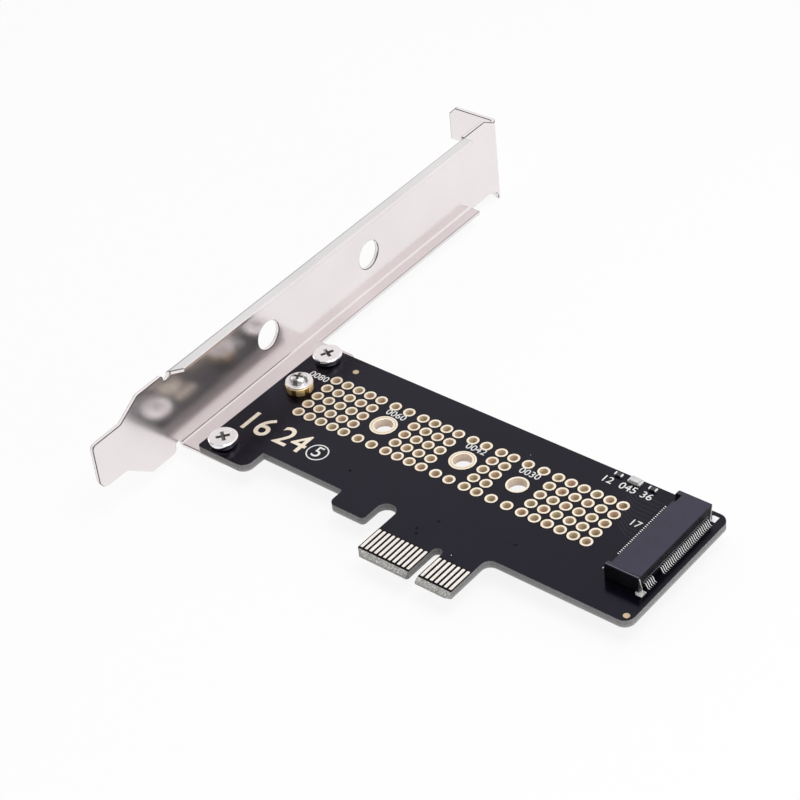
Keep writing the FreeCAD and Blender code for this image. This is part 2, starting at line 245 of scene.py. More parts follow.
def addGrain(nodes, links, fine, cloud, stretch=1.0):
    place = nodes.new("ShaderNodeTexCoord")
    grain = nodes.new("ShaderNodeGroup")
    grain.node_tree = grainGroup
    setInputs(grain, {"Fine Scale": fine, "Cloud Scale": cloud, "Stretch": stretch})
    links.new(place.outputs["Object"], grain.inputs["Vector"])
    return grain


def addRange(nodes, links, source, low, high, start=0.3, end=0.7):
    span = nodes.new("ShaderNodeMapRange")
    setInputs(span, {"From Min": start, "From Max": end, "To Min": low, "To Max": high})
    links.new(source, span.inputs["Value"])
    return span.outputs["Result"]


def addMix(nodes, links, factor, first, second):
    mix = nodes.new("ShaderNodeMix")
    mix.data_type = "RGBA"
    links.new(factor, mix.inputs["Factor"])
    for name, value in (("A", first), ("B", second)):
        socket = [s for s in mix.inputs if s.name == name and s.type == "RGBA"][0]
        if isinstance(value, tuple):
            socket.default_value = value + (1.0,)
        else:
            links.new(value, socket)
    return [s for s in mix.outputs if s.type == "RGBA"][0]


def addBump(nodes, links, shader, height, strength, depth):
    bump = nodes.new("ShaderNodeBump")
    setInputs(bump, {"Strength": strength, "Distance": depth})
    links.new(height, bump.inputs["Height"])
    links.new(bump.outputs["Normal"], shader.inputs["Normal"])


def makeSurface(name, look):
    material, nodes, links, shader = newMaterial(name)
    grain = addGrain(nodes, links, look["fine"], look["cloud"], look.get("stretch", 1.0))
    cloud = addRange(nodes, links, grain.outputs["Cloud"], 0, 1)
    colour = addMix(nodes, links, cloud, look["dark"], look["light"])
    if "fleck" in look:
        speck = addRange(nodes, links, grain.outputs["Fine"], 0, 1, *surfaceLook["fleckSpan"])
        colour = addMix(nodes, links, speck, colour, look["fleck"])
    links.new(colour, shader.inputs["Base Color"])
    links.new(addRange(nodes, links, grain.outputs["Cloud"], *look["rough"]), shader.inputs["Roughness"])
    setInputs(shader, {"Metallic": look.get("metal", 0.0), "Specular IOR Level": look.get("specular", 0.5),
                       "Specular Tint": look.get("tint", (1.0, 1.0, 1.0)) + (1.0,)})
    addBump(nodes, links, shader, grain.outputs["Fine"], look["bump"], surfaceLook["bumpDepth"])
    return material


finishes = {
    "solderMask": {"dark": (0.0014, 0.0011, 0.0028), "light": (0.0023, 0.0018, 0.0042), "rough": (0.17, 0.23),
                   "specular": 0.25, "tint": (0.74, 0.68, 1.0), "fine": 5200.0, "cloud": 130.0, "bump": 0.06},
    "tracedMask": {"dark": (0.0105, 0.0090, 0.0165), "light": (0.0140, 0.0120, 0.0210), "rough": (0.20, 0.26),
                   "specular": 0.30, "fine": 5200.0, "cloud": 300.0, "bump": 0.06},
    "maskGap": {"dark": (0.0020, 0.0016, 0.0022), "light": (0.0035, 0.0028, 0.0036), "rough": (0.5, 0.6),
                "specular": 0.08, "fine": 5200.0, "cloud": 300.0, "bump": 0.1},
    "goldPad": {"dark": (0.93, 0.81, 0.63), "light": (0.98, 0.91, 0.78), "rough": (0.30, 0.42), "metal": 0.75,
                "fine": 7000.0, "cloud": 700.0, "bump": 0.10},
    "fingerGold": {"dark": (0.84, 0.78, 0.71), "light": (0.95, 0.92, 0.88), "rough": (0.29, 0.38),
                   "metal": 0.85, "fine": 5200.0, "cloud": 900.0, "bump": 0.12},
    "holeWall": {"dark": (0.62, 0.56, 0.37), "light": (0.72, 0.50, 0.38), "rough": (0.42, 0.55), "metal": 0.0,
                 "fine": 7000.0, "cloud": 380.0, "bump": 0.2},
    "wideWall": {"dark": (0.86, 0.68, 0.54), "light": (0.97, 0.84, 0.71), "rough": (0.36, 0.46),
                 "metal": 0.15, "fine": 6000.0, "cloud": 500.0, "bump": 0.12},
    "plateSteel": {"dark": (0.83, 0.775, 0.78), "light": (0.89, 0.835, 0.84), "rough": (0.17, 0.22),
                   "metal": 0.93, "fine": 2600.0, "cloud": 60.0, "stretch": 0.25, "bump": 0.02},
    # darker copies of the plate steel for the lip's top and the bends: painted shade
    "lipSteelPaintedShade": {"dark": (0.70, 0.685, 0.685), "light": (0.76, 0.745, 0.745), "rough": (0.20, 0.26),
                 "metal": 0.93, "fine": 2600.0, "cloud": 60.0, "stretch": 0.25, "bump": 0.04},
    "bendSteelPaintedShade": {"dark": (0.40, 0.39, 0.39), "light": (0.48, 0.465, 0.465), "rough": (0.20, 0.26),
                  "metal": 0.93, "fine": 2600.0, "cloud": 60.0, "stretch": 0.25, "bump": 0.04},
    # near-black steel for the bevel strips: painted dark reflection along the edges
    "edgeSteelPaintedReflection": {"dark": (0.09, 0.083, 0.083), "light": (0.17, 0.16, 0.155), "rough": (0.36, 0.46),
                  "metal": 1.0, "fine": 5000.0, "cloud": 400.0, "bump": 0.1},
    # lighter, less metallic steel for the screw tops and the module screw's flange: painted light
    "headSteelPaintedLight": {"dark": (0.91, 0.88, 0.88), "light": (0.97, 0.935, 0.94), "rough": (0.20, 0.28),
                  "metal": 0.35, "fine": 5000.0, "cloud": 500.0, "bump": 0.06},
    "domeSteel": {"dark": (0.78, 0.765, 0.77), "light": (0.95, 0.935, 0.94), "rough": (0.26, 0.34),
                  "metal": 1.0, "fine": 5000.0, "cloud": 1500.0, "bump": 0.05},
    # dark steel for streaks on the dome: painted reflection
    "domePaintedReflection": {"dark": (0.16, 0.155, 0.155), "light": (0.34, 0.33, 0.33), "rough": (0.26, 0.34),
                  "metal": 1.0, "fine": 5000.0, "cloud": 1500.0, "bump": 0.05},
    "screwSteel": {"dark": (0.88, 0.865, 0.87), "light": (0.96, 0.945, 0.945), "rough": (0.16, 0.26),
                   "metal": 1.0, "fine": 5000.0, "cloud": 500.0, "bump": 0.06},
    # dark steel for the crossed recesses: painted shade
    "recessSteelPaintedShade": {"dark": (0.20, 0.19, 0.185), "light": (0.40, 0.39, 0.385), "rough": (0.34, 0.42),
                    "metal": 0.9, "fine": 5000.0, "cloud": 700.0, "bump": 0.1},
    "turnedBrass": {"dark": (0.92, 0.66, 0.30), "light": (1.0, 0.82, 0.50), "rough": (0.18, 0.24),
                    "metal": 0.5, "fine": 6000.0, "cloud": 400.0, "bump": 0.02},
    # dark brass for upright bands on the standoff's side: painted reflection
    "brassPaintedReflection": {"dark": (0.22, 0.12, 0.035), "light": (0.40, 0.24, 0.08), "rough": (0.20, 0.26),
                   "metal": 0.7, "fine": 6000.0, "cloud": 400.0, "bump": 0.02},
    "mouldedBlack": {"dark": (0.019, 0.0165, 0.037), "light": (0.026, 0.0225, 0.048), "rough": (0.34, 0.44),
                     "specular": 0.4, "fine": 9000.0, "cloud": 300.0, "bump": 0.3},
    # darker plastic for the socket's sides and the groove strip: painted shade
    "mouldedPaintedShade": {"dark": (0.0035, 0.0030, 0.0050), "light": (0.0060, 0.0052, 0.0085),
                    "rough": (0.34, 0.46), "specular": 0.22, "fine": 9000.0, "cloud": 300.0, "bump": 0.3},
    # lighter plastic for the rail and ledge: painted highlight
    "mouldedPaintedHighlight": {"dark": (0.15, 0.145, 0.18), "light": (0.21, 0.205, 0.25), "rough": (0.3, 0.4),
                   "specular": 0.5, "fine": 9000.0, "cloud": 300.0, "bump": 0.2},
    "tinnedMetal": {"dark": (0.86, 0.86, 0.86), "light": (0.97, 0.965, 0.96), "rough": (0.24, 0.36),
                    "metal": 0.6, "fine": 6000.0, "cloud": 900.0, "bump": 0.05},
    # dark metal for the rear pads, and the painted shadow on the front tails under the socket
    "dullMetalAndPaintedShadow": {"dark": (0.03, 0.03, 0.032), "light": (0.07, 0.07, 0.072), "rough": (0.3, 0.4),
                  "metal": 0.8, "fine": 6000.0, "cloud": 900.0, "bump": 0.05},
    "noseLaminate": {"dark": (0.27, 0.265, 0.25), "light": (0.38, 0.375, 0.36), "rough": (0.6, 0.8),
                     "specular": 0.3, "fine": 3600.0, "cloud": 900.0, "bump": 0.4,
                     "fleck": (0.80, 0.79, 0.77)},
    "dotCopper": {"dark": (0.52, 0.38, 0.23), "light": (0.68, 0.53, 0.37), "rough": (0.3, 0.4), "metal": 0.5,
                  "fine": 6000.0, "cloud": 900.0, "bump": 0.05},
    "printInk": {"dark": (0.78, 0.78, 0.77), "light": (0.90, 0.90, 0.89), "rough": (0.5, 0.62),
                 "fine": 7000.0, "cloud": 900.0, "bump": 0.2},
    "chipBlack": {"dark": (0.02, 0.02, 0.022), "light": (0.05, 0.05, 0.055), "rough": (0.2, 0.35),
                  "fine": 7000.0, "cloud": 900.0, "bump": 0.1},
    "milkyWhite": {"dark": (0.52, 0.52, 0.515), "light": (0.68, 0.68, 0.675), "rough": (0.28, 0.4),
                   "fine": 6000.0, "cloud": 700.0, "bump": 0.1},
}


laminateLook = {
    "upper": (0.27, 0.265, 0.27), "lower": (0.33, 0.325, 0.32), "core": (0.10, 0.10, 0.105),
    "rim": (0.56, 0.555, 0.55), "mask": (0.05, 0.05, 0.055), "fibre": (0.50, 0.49, 0.475),
    "layers": [  # from the top face down, as shares of the board
        (0.0, "mask"), (0.05, "mask"), (0.08, "upper"), (0.50, "upper"), (0.53, "core"),
        (0.57, "lower"), (0.88, "lower"), (0.93, "rim"), (1.0, "rim"),
    ],
    "fine": 2600.0, "cloud": 500.0, "fibreShare": 0.5, "fibreSpan": (0.5, 0.75),
    "rough": 0.78, "specular": 0.3, "bump": 0.35, "bumpDepth": 0.03 * mm,
}


def makeLaminate():
    look, layers = laminateLook, laminateLook["layers"]
    material, nodes, links, shader = newMaterial("laminateEdge")
    grain = addGrain(nodes, links, look["fine"], look["cloud"])
    place = nodes.new("ShaderNodeTexCoord")
    split = nodes.new("ShaderNodeSeparateXYZ")
    links.new(place.outputs["Object"], split.inputs[0])
    depth = addRange(nodes, links, split.outputs["Z"], 0, 1, boardTop, boardLow)
    ramp = nodes.new("ShaderNodeValToRGB")
    for stop, name in layers[1:-1]:
        ramp.color_ramp.elements.new(stop).color = look[name] + (1.0,)
    ramp.color_ramp.elements[0].color = look[layers[0][1]] + (1.0,)
    ramp.color_ramp.elements[-1].color = look[layers[-1][1]] + (1.0,)
    links.new(depth, ramp.inputs["Fac"])
    fibre = addRange(nodes, links, grain.outputs["Fine"], 0, look["fibreShare"], *look["fibreSpan"])
    links.new(addMix(nodes, links, fibre, ramp.outputs["Color"], look["fibre"]), shader.inputs["Base Color"])
    setInputs(shader, {"Roughness": look["rough"], "Specular IOR Level": look["specular"]})
    addBump(nodes, links, shader, grain.outputs["Fine"], look["bump"], look["bumpDepth"])
    return material


materials = {name: makeSurface(name, look) for name, look in finishes.items()}
materials["laminateEdge"] = makeLaminate()
print("materials ready")


# Shared mesh helpers

meshLook = {
    "touch": 1e-7,  # points closer than this are one
    "flatTurn": 1,  # edges that turn less than this, in degrees, are dissolved
    "smooth": 32,  # and sharper ones than this are shaded sharp
    "level": 0.999, "square": 0.9995, "broad": 3 * mm * mm,  # faces that are shaded flat
    "facesUp": 0.9,
}
touch = meshLook["touch"]


def mergedCopy(node):
    bm = bmesh.new()
    bm.from_mesh(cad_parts[node].data)
    bmesh.ops.remove_doubles(bm, verts=bm.verts, dist=touch)
    return bm


def islandsOf(bm):
    left, islands = set(bm.verts), []
    while left:
        stack, island = [left.pop()], []
        while stack:
            vert = stack.pop()
            island.append(vert)
            for edge in vert.link_edges:
                other = edge.other_vert(vert)
                if other in left:
                    left.remove(other)
                    stack.append(other)
        islands.append(island)
    return islands


def cornersOf(verts):
    low = Vector([min(v.co[i] for v in verts) for i in range(3)])
    high = Vector([max(v.co[i] for v in verts) for i in range(3)])
    return low, high


def solidsOf(node):
    bm = mergedCopy(node)
    boxes = [cornersOf(island) for island in islandsOf(bm)]
    bm.free()
    return sorted(boxes, key=lambda b: (round(b[0].x, 6), round(b[0].y, 6)))


def inMetres(points):
    return [(first * mm, second * mm) for first, second in points]


def inRow(boxes, x):
    # one place for each box, at its middle along y
    return [Vector((x, (low.y + high.y) / 2, 0)) for low, high in boxes]


def only(kind, geometry):
    return [item for item in geometry if isinstance(item, kind)]


def edgesRound(bm, verts):
    return [bm.edges.new(pair) for pair in zip(verts, verts[1:] + verts[:1])]


def rimAt(bm, level):
    return [e for e in bm.edges if e.is_boundary and all(abs(v.co.z - level) < touch for v in e.verts)]


def fillFlat(bm, edges, up=1):
    bmesh.ops.triangle_fill(bm, use_beauty=True, use_dissolve=False, edges=edges, normal=(0, 0, up))


def moveBy(bm, x, y, z=0):
    bmesh.ops.translate(bm, verts=bm.verts, vec=(x, y, z))


def finish(name, bm, looks, replaced=()):
    mesh = bpy.data.meshes.new(name)
    bm.to_mesh(mesh)
    bm.free()
    for look in looks:
        mesh.materials.append(materials[look])
    mesh.shade_smooth()
    mesh.set_sharp_from_angle(angle=math.radians(meshLook["smooth"]))
    for polygon in mesh.polygons:
        squarest = max(abs(part) for part in polygon.normal)
        broad = squarest > meshLook["square"] and polygon.area > meshLook["broad"]
        if abs(polygon.normal.z) > meshLook["level"] or broad:
            polygon.use_smooth = False
    piece = bpy.data.objects.new(name, mesh)
    bpy.context.scene.collection.objects.link(piece)
    shading = piece.modifiers.new("evenShading", "WEIGHTED_NORMAL")
    shading.mode = "FACE_AREA"
    shading.weight = 100
    shading.keep_sharp = True
    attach(piece, "root")
    if replaced:
        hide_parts(*replaced)
    print(name, len(mesh.polygons), "faces")
    return piece


def softenEdges(bm, width, steps=2, angle=30, edgeLook=0, clamp=True, leave=lambda edge: False):
    turn = math.radians(angle)
    sharp = [e for e in bm.edges if e.is_convex and e.calc_face_angle(0) > turn and not leave(e)]
    made = bmesh.ops.bevel(bm, geom=sharp, offset=width, offset_type="OFFSET", segments=steps, profile=0.5,
                           affect="EDGES", material=-1, clamp_overlap=clamp)
    for face in made["faces"]:
        face.material_index = edgeLook


def simplify(bm):
    flat = math.radians(meshLook["flatTurn"])
    bmesh.ops.dissolve_limit(bm, angle_limit=flat, verts=bm.verts, edges=bm.edges)


def softened(name, node, look, slot, width, steps=2, angle=30):
    bm = mergedCopy(node)
    simplify(bm)
    softenEdges(bm, width, steps, angle)
    return finish(name, bm, [look], [node])


def spun(profile, steps, closed=True):
    # a profile in radius and height, in millimetres, turned about the z axis
    bm = bmesh.new()
    verts = [bm.verts.new((radius, 0, height)) for radius, height in inMetres(profile)]
    edges = edgesRound(bm, verts) if closed else [bm.edges.new(pair) for pair in zip(verts, verts[1:])]
    bmesh.ops.spin(bm, geom=verts + edges, cent=(0, 0, 0), axis=(0, 0, 1), angle=2 * math.pi, steps=steps,
                   use_merge=True, use_duplicate=False)
    bmesh.ops.remove_doubles(bm, verts=bm.verts, dist=touch)
    bmesh.ops.recalc_face_normals(bm, faces=bm.faces)
    return bm


def stamped(source, places):
    mesh = bpy.data.meshes.new("stamp")
    source.to_mesh(mesh)
    source.free()
    bm = bmesh.new()
    for place in places:
        before = len(bm.verts)
        bm.from_mesh(mesh)
        bm.verts.ensure_lookup_table()
        bmesh.ops.translate(bm, verts=bm.verts[before:], vec=place)
    bpy.data.meshes.remove(mesh)
    return bm


def addTo(whole, bm):
    mesh = bpy.data.meshes.new("part")
    bm.to_mesh(mesh)
    bm.free()
    whole.from_mesh(mesh)
    bpy.data.meshes.remove(mesh)


def plate(points, rounds, low, high, segments=4):
    # a flat outline with rounded corners, in metres, raised from low to high
    bm = bmesh.new()
    verts = [bm.verts.new((x, y, low)) for x, y in points]
    bm.faces.new(verts)
    for vert, radius in zip(list(verts), rounds):
        if radius > 0:
            bmesh.ops.bevel(bm, geom=[vert], offset=radius, offset_type="OFFSET", segments=segments,
                            profile=0.5, affect="VERTICES", material=-1)
    made = bmesh.ops.extrude_face_region(bm, geom=bm.faces[:])
    bmesh.ops.translate(bm, verts=only(bmesh.types.BMVert, made["geom"]), vec=(0, 0, high - low))
    bmesh.ops.recalc_face_normals(bm, faces=bm.faces)
    return bm


def standing(path, wide):
    # a profile in x and z, given its width along y
    half = wide / 2 * mm
    bm = plate(inMetres(path), [0] * len(path), -half, half)
    upright = Matrix.Rotation(math.radians(90), 3, "X")
    bmesh.ops.rotate(bm, verts=bm.verts, cent=(0, 0, 0), matrix=upright)
    bmesh.ops.recalc_face_normals(bm, faces=bm.faces)
    return bm


def bar(start, end, wide, low, high):
    first, last = Vector(start), Vector(end)
    run, middle = last - first, (first + last) / 2
    turn = Matrix.Rotation(math.atan2(run.y, run.x), 3, "Z")
    bm = bmesh.new()
    bmesh.ops.create_cube(bm, size=1)
    bmesh.ops.scale(bm, verts=bm.verts, vec=(run.length * mm, wide * mm, (high - low) * mm))
    bmesh.ops.rotate(bm, verts=bm.verts, cent=(0, 0, 0), matrix=turn)
    moveBy(bm, middle.x * mm, middle.y * mm, (low + high) / 2 * mm)
    return bm


# Board

boardLook = {
    "heatRadius": 0.80 * mm, "heatSides": 20,
    "heatCorners": 16,  # how many corners a heat hole has in the solid
    "flatTilt": 0.99, "noseTilt": 0.95, "noseTurn": -0.2, "noseSetback": 0.3 * mm,
}


def boardWalls():
    # the board without its two flat faces, and the heat holes among its walls
    bm = mergedCopy("circuit_board")
    flats = [f for f in bm.faces if abs(f.normal.z) > boardLook["flatTilt"]]
    bmesh.ops.delete(bm, geom=flats, context="FACES")
    return bm, [island for island in islandsOf(bm) if len(island) == boardLook["heatCorners"]]


def heatHoles():
    bm, small = boardWalls()
    boxes = [cornersOf(island) for island in small]
    bm.free()
    return sorted(((low + high) / 2 for low, high in boxes), key=lambda p: (round(p.x, 5), round(p.y, 5)))


def makeBoard(places):
    look = boardLook
    bm, small = boardWalls()
    bmesh.ops.delete(bm, geom=[v for island in small for v in island], context="VERTS")
    for place in places:
        middle = Matrix.Translation((place.x, place.y, (boardTop + boardLow) / 2))
        bmesh.ops.create_cone(bm, cap_ends=False, segments=look["heatSides"], radius1=look["heatRadius"],
                              radius2=look["heatRadius"], depth=boardTop - boardLow, matrix=middle)
    for level, up in ((boardTop, 1), (boardLow, -1)):
        fillFlat(bm, rimAt(bm, level), up)
    bmesh.ops.recalc_face_normals(bm, faces=bm.faces)
    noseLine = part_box("edge_fingers_front")[0].y - look["noseSetback"]
    for face in bm.faces:
        if abs(face.normal.z) <= look["noseTilt"]:
            nose = face.calc_center_median().y < noseLine and face.normal.y < look["noseTurn"]
            face.material_index = 2 if nose else 1
    looks = ["solderMask", "laminateEdge", "noseLaminate"]
    return finish("board", bm, looks, ["circuit_board"])


# Plated holes

liningLook = {
    "heat": {"hole": 0.66, "lip": 0.78, "ring": 1.17, "gap": 1.30, "sides": 20},
    "module": {"hole": 1.66, "lip": 1.74, "sides": 56},
    "rings": {30: 2.12, 42: 2.54, 60: 2.60, 80: 2.40}, "ringGap": 0.12,
    "stepped": (42, 60), "step": 0.42,
    "groove": 0.08, "grooveSlope": 0.02, "grooveLevel": 0.012,
    "proud": 0.045, "thick": 0.14, "soft": 0.03,
    "foot": 0.10, "chamfer": 0.26, "lipRise": 0.6, "ringRise": 0.3, "gapRise": 0.008,
}


def liningProfile(look):
    hole, lip, ring, gap = (look[k] for k in ("hole", "lip", "ring", "gap"))
    proud, groove, soft = (liningLook[k] for k in ("proud", "groove", "soft"))
    outside, low, step = hole + liningLook["thick"], boardLow / mm, look.get("step", lip)
    points = [(hole, low + liningLook["foot"]), (hole, -liningLook["chamfer"])]
    points += [(lip, proud * liningLook["lipRise"])]
    if step > lip:
        slope, level = liningLook["grooveSlope"], liningLook["grooveLevel"]
        points += [(lip + soft, proud), (step - groove, proud), (step - groove + slope, level),
                   (step + groove - slope, level)]
    points += [(max(lip + soft, step + groove), proud), (ring - soft, proud)]
    points += [(ring, proud * liningLook["ringRise"]), (gap, liningLook["gapRise"]), (gap, 0.0)]
    points += [(outside, 0.0), (outside, low), (ring, low), (ring - soft, low - proud), (lip, low - proud)]
    return points


def lining(look):
    bm = spun(liningProfile(look), look["sides"])
    for face in bm.faces:
        middle = face.calc_center_median()
        away = math.hypot(middle.x, middle.y) / mm
        if away > look["ring"] and middle.z > boardLow / 2:
            face.material_index = 2
        elif away < look["lip"]:
            face.material_index = 1
        elif abs(away - look.get("step", 0)) < liningLook["groove"]:
            face.material_index = 3
    return bm


def makeLinings(places):
    bm = stamped(lining(liningLook["heat"]), [Vector((p.x, p.y, 0)) for p in places])
    finish("heatHoleLinings", bm, ["goldPad", "holeWall", "maskGap"])
    for length, ring in liningLook["rings"].items():
        node = "module_hole_ring_%d" % length
        low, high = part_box(node)
        centre = (low + high) / 2
        look = dict(liningLook["module"], ring=ring, gap=ring + liningLook["ringGap"])
        if length in liningLook["stepped"]:
            look["step"] = ring - liningLook["step"]
        bm = lining(look)
        moveBy(bm, centre.x, centre.y)
        looks = ["goldPad", "wideWall", "maskGap", "holeWall"]
        finish("moduleHoleLining%d" % length, bm, looks, [node])


# Card edge fingers

fingerLook = {
    "wide": 0.57 * mm, "nearRound": 0.4, "farRound": 0.7, "roundSteps": 5,
    "keyBreak": 1.2 * mm,  # a wider step than this parts the two runs of fingers
    "gapEdge": 0.22 * mm, "gapLong": 0.5 * mm, "gapShift": 0.05 * mm, "gapThick": 0.012 * mm,
    "gapLevel": 0.002 * mm,
}


def makeFingers(name, node):
    boxes = solidsOf(node)
    low, high = boxes[0]
    halfWide, half = fingerLook["wide"] / 2, (high.y - low.y) / 2
    near, far = halfWide * fingerLook["nearRound"], halfWide * fingerLook["farRound"]
    outline = [(-halfWide, -half), (halfWide, -half), (halfWide, half), (-halfWide, half)]
    one = plate(outline, [near, near, far, far], low.z, high.z, fingerLook["roundSteps"])
    places = [Vector(((b[0].x + b[1].x) / 2, (b[0].y + b[1].y) / 2, 0)) for b in boxes]
    finish(name, stamped(one, places), ["fingerGold"], [node])
    return boxes


def makeFingerGaps(boxes):
    # bare laminate between the front fingers, darker than the mask
    look = fingerLook
    edge = look["gapEdge"] - (boxes[0][1].x - boxes[0][0].x - look["wide"]) / 2
    runs, last = [], None
    for low, high in boxes:
        if last is None or low.x - last.x > look["keyBreak"]:
            runs.append([low.x - edge, high.x + edge])
        runs[-1][1] = high.x + edge
        last = high
    low, high = boxes[0]
    middle = (low.y + high.y) / 2 - look["gapShift"]
    bm = bmesh.new()
    for left, right in runs:
        made = bmesh.ops.create_cube(bm, size=1)["verts"]
        size = (right - left, high.y - low.y + look["gapLong"], look["gapThick"])
        bmesh.ops.scale(bm, verts=made, vec=size)
        bmesh.ops.translate(bm, verts=made, vec=((left + right) / 2, middle, look["gapLevel"]))
    finish("fingerGaps", bm, ["maskGap"])


# Bracket

bracketLook = {
    "edge": 0.14 * mm, "steps": 2, "angle": 40,
    "lip": 1.2 * mm, "long": 40 * mm, "flat": 0.99, "outer": -0.2, "under": -0.3,
    "bendEnds": {"y": (-22.6, 65.97), "z": (-1.25, 13.95), "x": -89.0, "reach": (0.2, 0.35), "short": 0.5},
}


def atBendEnd(edge):
    # tiny edges where the long bends stop, which a full bevel would fold over
    look = bracketLook["bendEnds"]
    middle = (edge.verts[0].co + edge.verts[1].co) / 2 / mm
    nearY = min(abs(middle.y - y) for y in look["y"]) < look["reach"][0]
    nearZ = min(abs(middle.z - z) for z in look["z"]) < look["reach"][1]
    return nearY and nearZ and middle.x < look["x"] and edge.calc_length() < look["short"] * mm


def makeBracket():
    look = bracketLook
    plateFace, edgePaintedReflection, lipPaintedShade, bend = range(4)
    bm = mergedCopy("bracket")
    simplify(bm)
    # the bevel strips are painted near-black steel: painted dark reflection along the sheet's edges
    softenEdges(bm, look["edge"], look["steps"], look["angle"], edgePaintedReflection, clamp=False, leave=atBendEnd)
    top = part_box("bracket")[1].z
    # along the top, the lip's flat top is painted darker steel and its faces turned to -x darker still, both
    # painted shade; long bevel strips get the same darker bend steel as painted shade, and bevels facing down
    # go back to the plate steel
    for face in bm.faces:
        low, high = cornersOf(face.verts)
        runsLong = high.y - low.y > look["long"]
        if runsLong and low.z >= top - look["lip"]:
            if face.normal.z > look["flat"]:
                face.material_index = lipPaintedShade
            else:
                face.material_index = bend if face.normal.x < look["outer"] else plateFace
        elif face.material_index == edgePaintedReflection and runsLong:
            face.material_index = bend
        elif face.material_index == edgePaintedReflection and face.normal.z < look["under"]:
            face.material_index = plateFace
    looks = ["plateSteel", "edgeSteelPaintedReflection", "lipSteelPaintedShade", "bendSteelPaintedShade"]
    finish("bracketSheet", bm, looks, ["bracket"])


# Screws

threadLook = {"leastSteps": 8, "stepsPerTurn": 20, "flank": 0.4}
panScrew = {
    "reach": 1.32, "arm": 0.34, "depth": 0.85, "taper": 0.55, "turns": (52, 65), "sides": 48, "shank": 1.5,
    "crown": [(0.88, 0.0), (0.93, 0.03), (0.98, 0.14), (1.0, 0.34), (0.995, 0.62)],  # down from the top
    "skirt": [(0.95, 0.38), (0.88, 0.10), (0.84, 0.0)],  # up from the board
    "neck": 0.12, "point": 0.3, "flatBand": 0.04,
    "thread": {"inset": 0.03, "pitch": 0.5, "top": -1.7, "gap": 0.25, "depth": 0.06},
}


def headTop(bm, top, look, turn):
    # cuts the crossed recess into the flat top and paints it dark as painted shade
    reach, arm = look["reach"] * mm, look["arm"] * mm
    corner = [(arm, arm), (arm, reach), (-arm, reach), (-arm, arm), (-reach, arm), (-reach, -arm),
              (-arm, -arm), (-arm, -reach), (arm, -reach), (arm, -arm), (reach, -arm), (reach, arm)]
    spin = Matrix.Rotation(math.radians(turn), 4, "Z")
    verts = [bm.verts.new(spin @ Vector((x, y, top))) for x, y in corner]
    cross = edgesRound(bm, verts)
    fillFlat(bm, rimAt(bm, top) + cross)
    inside = []
    for face in bm.faces:
        middle = spin.inverted() @ face.calc_center_median()
        onTop = abs(face.normal.z) > meshLook["facesUp"] and abs(middle.z - top) < touch
        if onTop and min(abs(middle.x), abs(middle.y)) < arm and all(v in verts for v in face.verts):
            inside.append(face)
    bmesh.ops.delete(bm, geom=inside, context="FACES_ONLY")
    before = set(bm.faces)
    sunk = bmesh.ops.extrude_edge_only(bm, edges=cross)["geom"]
    low = only(bmesh.types.BMVert, sunk)
    bmesh.ops.scale(bm, verts=low, vec=(look["taper"], look["taper"], 1))
    bmesh.ops.translate(bm, verts=low, vec=(0, 0, -look["depth"] * mm))
    fillFlat(bm, [e for e in only(bmesh.types.BMEdge, sunk) if all(v in low for v in e.verts)])
    for face in bm.faces:
        if face not in before:
            face.material_index = 1


def pointed(shank, tip, point):
    return [(shank, tip + point), (shank - point, tip), (0, tip)]


def threadRidge(bm, shank, tip, look):
    # one ridge wound down the shank, closed at both ends
    radius, depth, top, pitch = shank - look["inset"], look["depth"], look["top"], look["pitch"]
    run, flank = top - (tip + look["gap"]), pitch * threadLook["flank"]
    turns = run / pitch
    steps = max(threadLook["leastSteps"], round(turns * threadLook["stepsPerTurn"]))
    ridge = [(radius - depth, top + flank), (radius + depth, top), (radius - depth, top - flank)]
    verts = [bm.verts.new((away, 0, height)) for away, height in inMetres(ridge)]
    edges = edgesRound(bm, verts)
    bm.faces.new(verts)
    made = bmesh.ops.spin(bm, geom=verts + edges, cent=(0, 0, 0), axis=(0, 0, 1), angle=2 * math.pi * turns,
                          steps=steps, dvec=(0, 0, -run * mm / steps), use_merge=False, use_duplicate=False)
    bmesh.ops.contextual_create(bm, geom=only(bmesh.types.BMEdge, made["geom_last"]))


def makeBracketScrews():
    look, shank, neck = panScrew, panScrew["shank"], panScrew["neck"]
    whole = bmesh.new()
    for (low, high), turn in zip(solidsOf("bracket_screws"), look["turns"]):
        top, tip, head = high.z / mm, low.z / mm, (high.x - low.x) / 2 / mm
        profile = [(head * share, top - fall) for share, fall in look["crown"]]
        profile += [(head * share, rise) for share, rise in look["skirt"]]
        profile += [(shank + neck, 0.0), (shank, -neck)] + pointed(shank, tip, look["point"])
        bm = spun(profile, look["sides"], closed=False)
        headTop(bm, top * mm, look, turn)
        # the flat top band is painted the lighter, less metallic steel: painted light
        for face in bm.faces:
            if face.material_index == 0 and all(v.co.z > (top - look["flatBand"]) * mm for v in face.verts):
                face.material_index = 2
        threadRidge(bm, shank, tip, look["thread"])
        bmesh.ops.recalc_face_normals(bm, faces=bm.faces)
        moveBy(bm, (low.x + high.x) / 2, (low.y + high.y) / 2)
        addTo(whole, bm)
    looks = ["screwSteel", "recessSteelPaintedShade", "headSteelPaintedLight"]
    finish("bracketScrews", whole, looks, ["bracket_screws"])


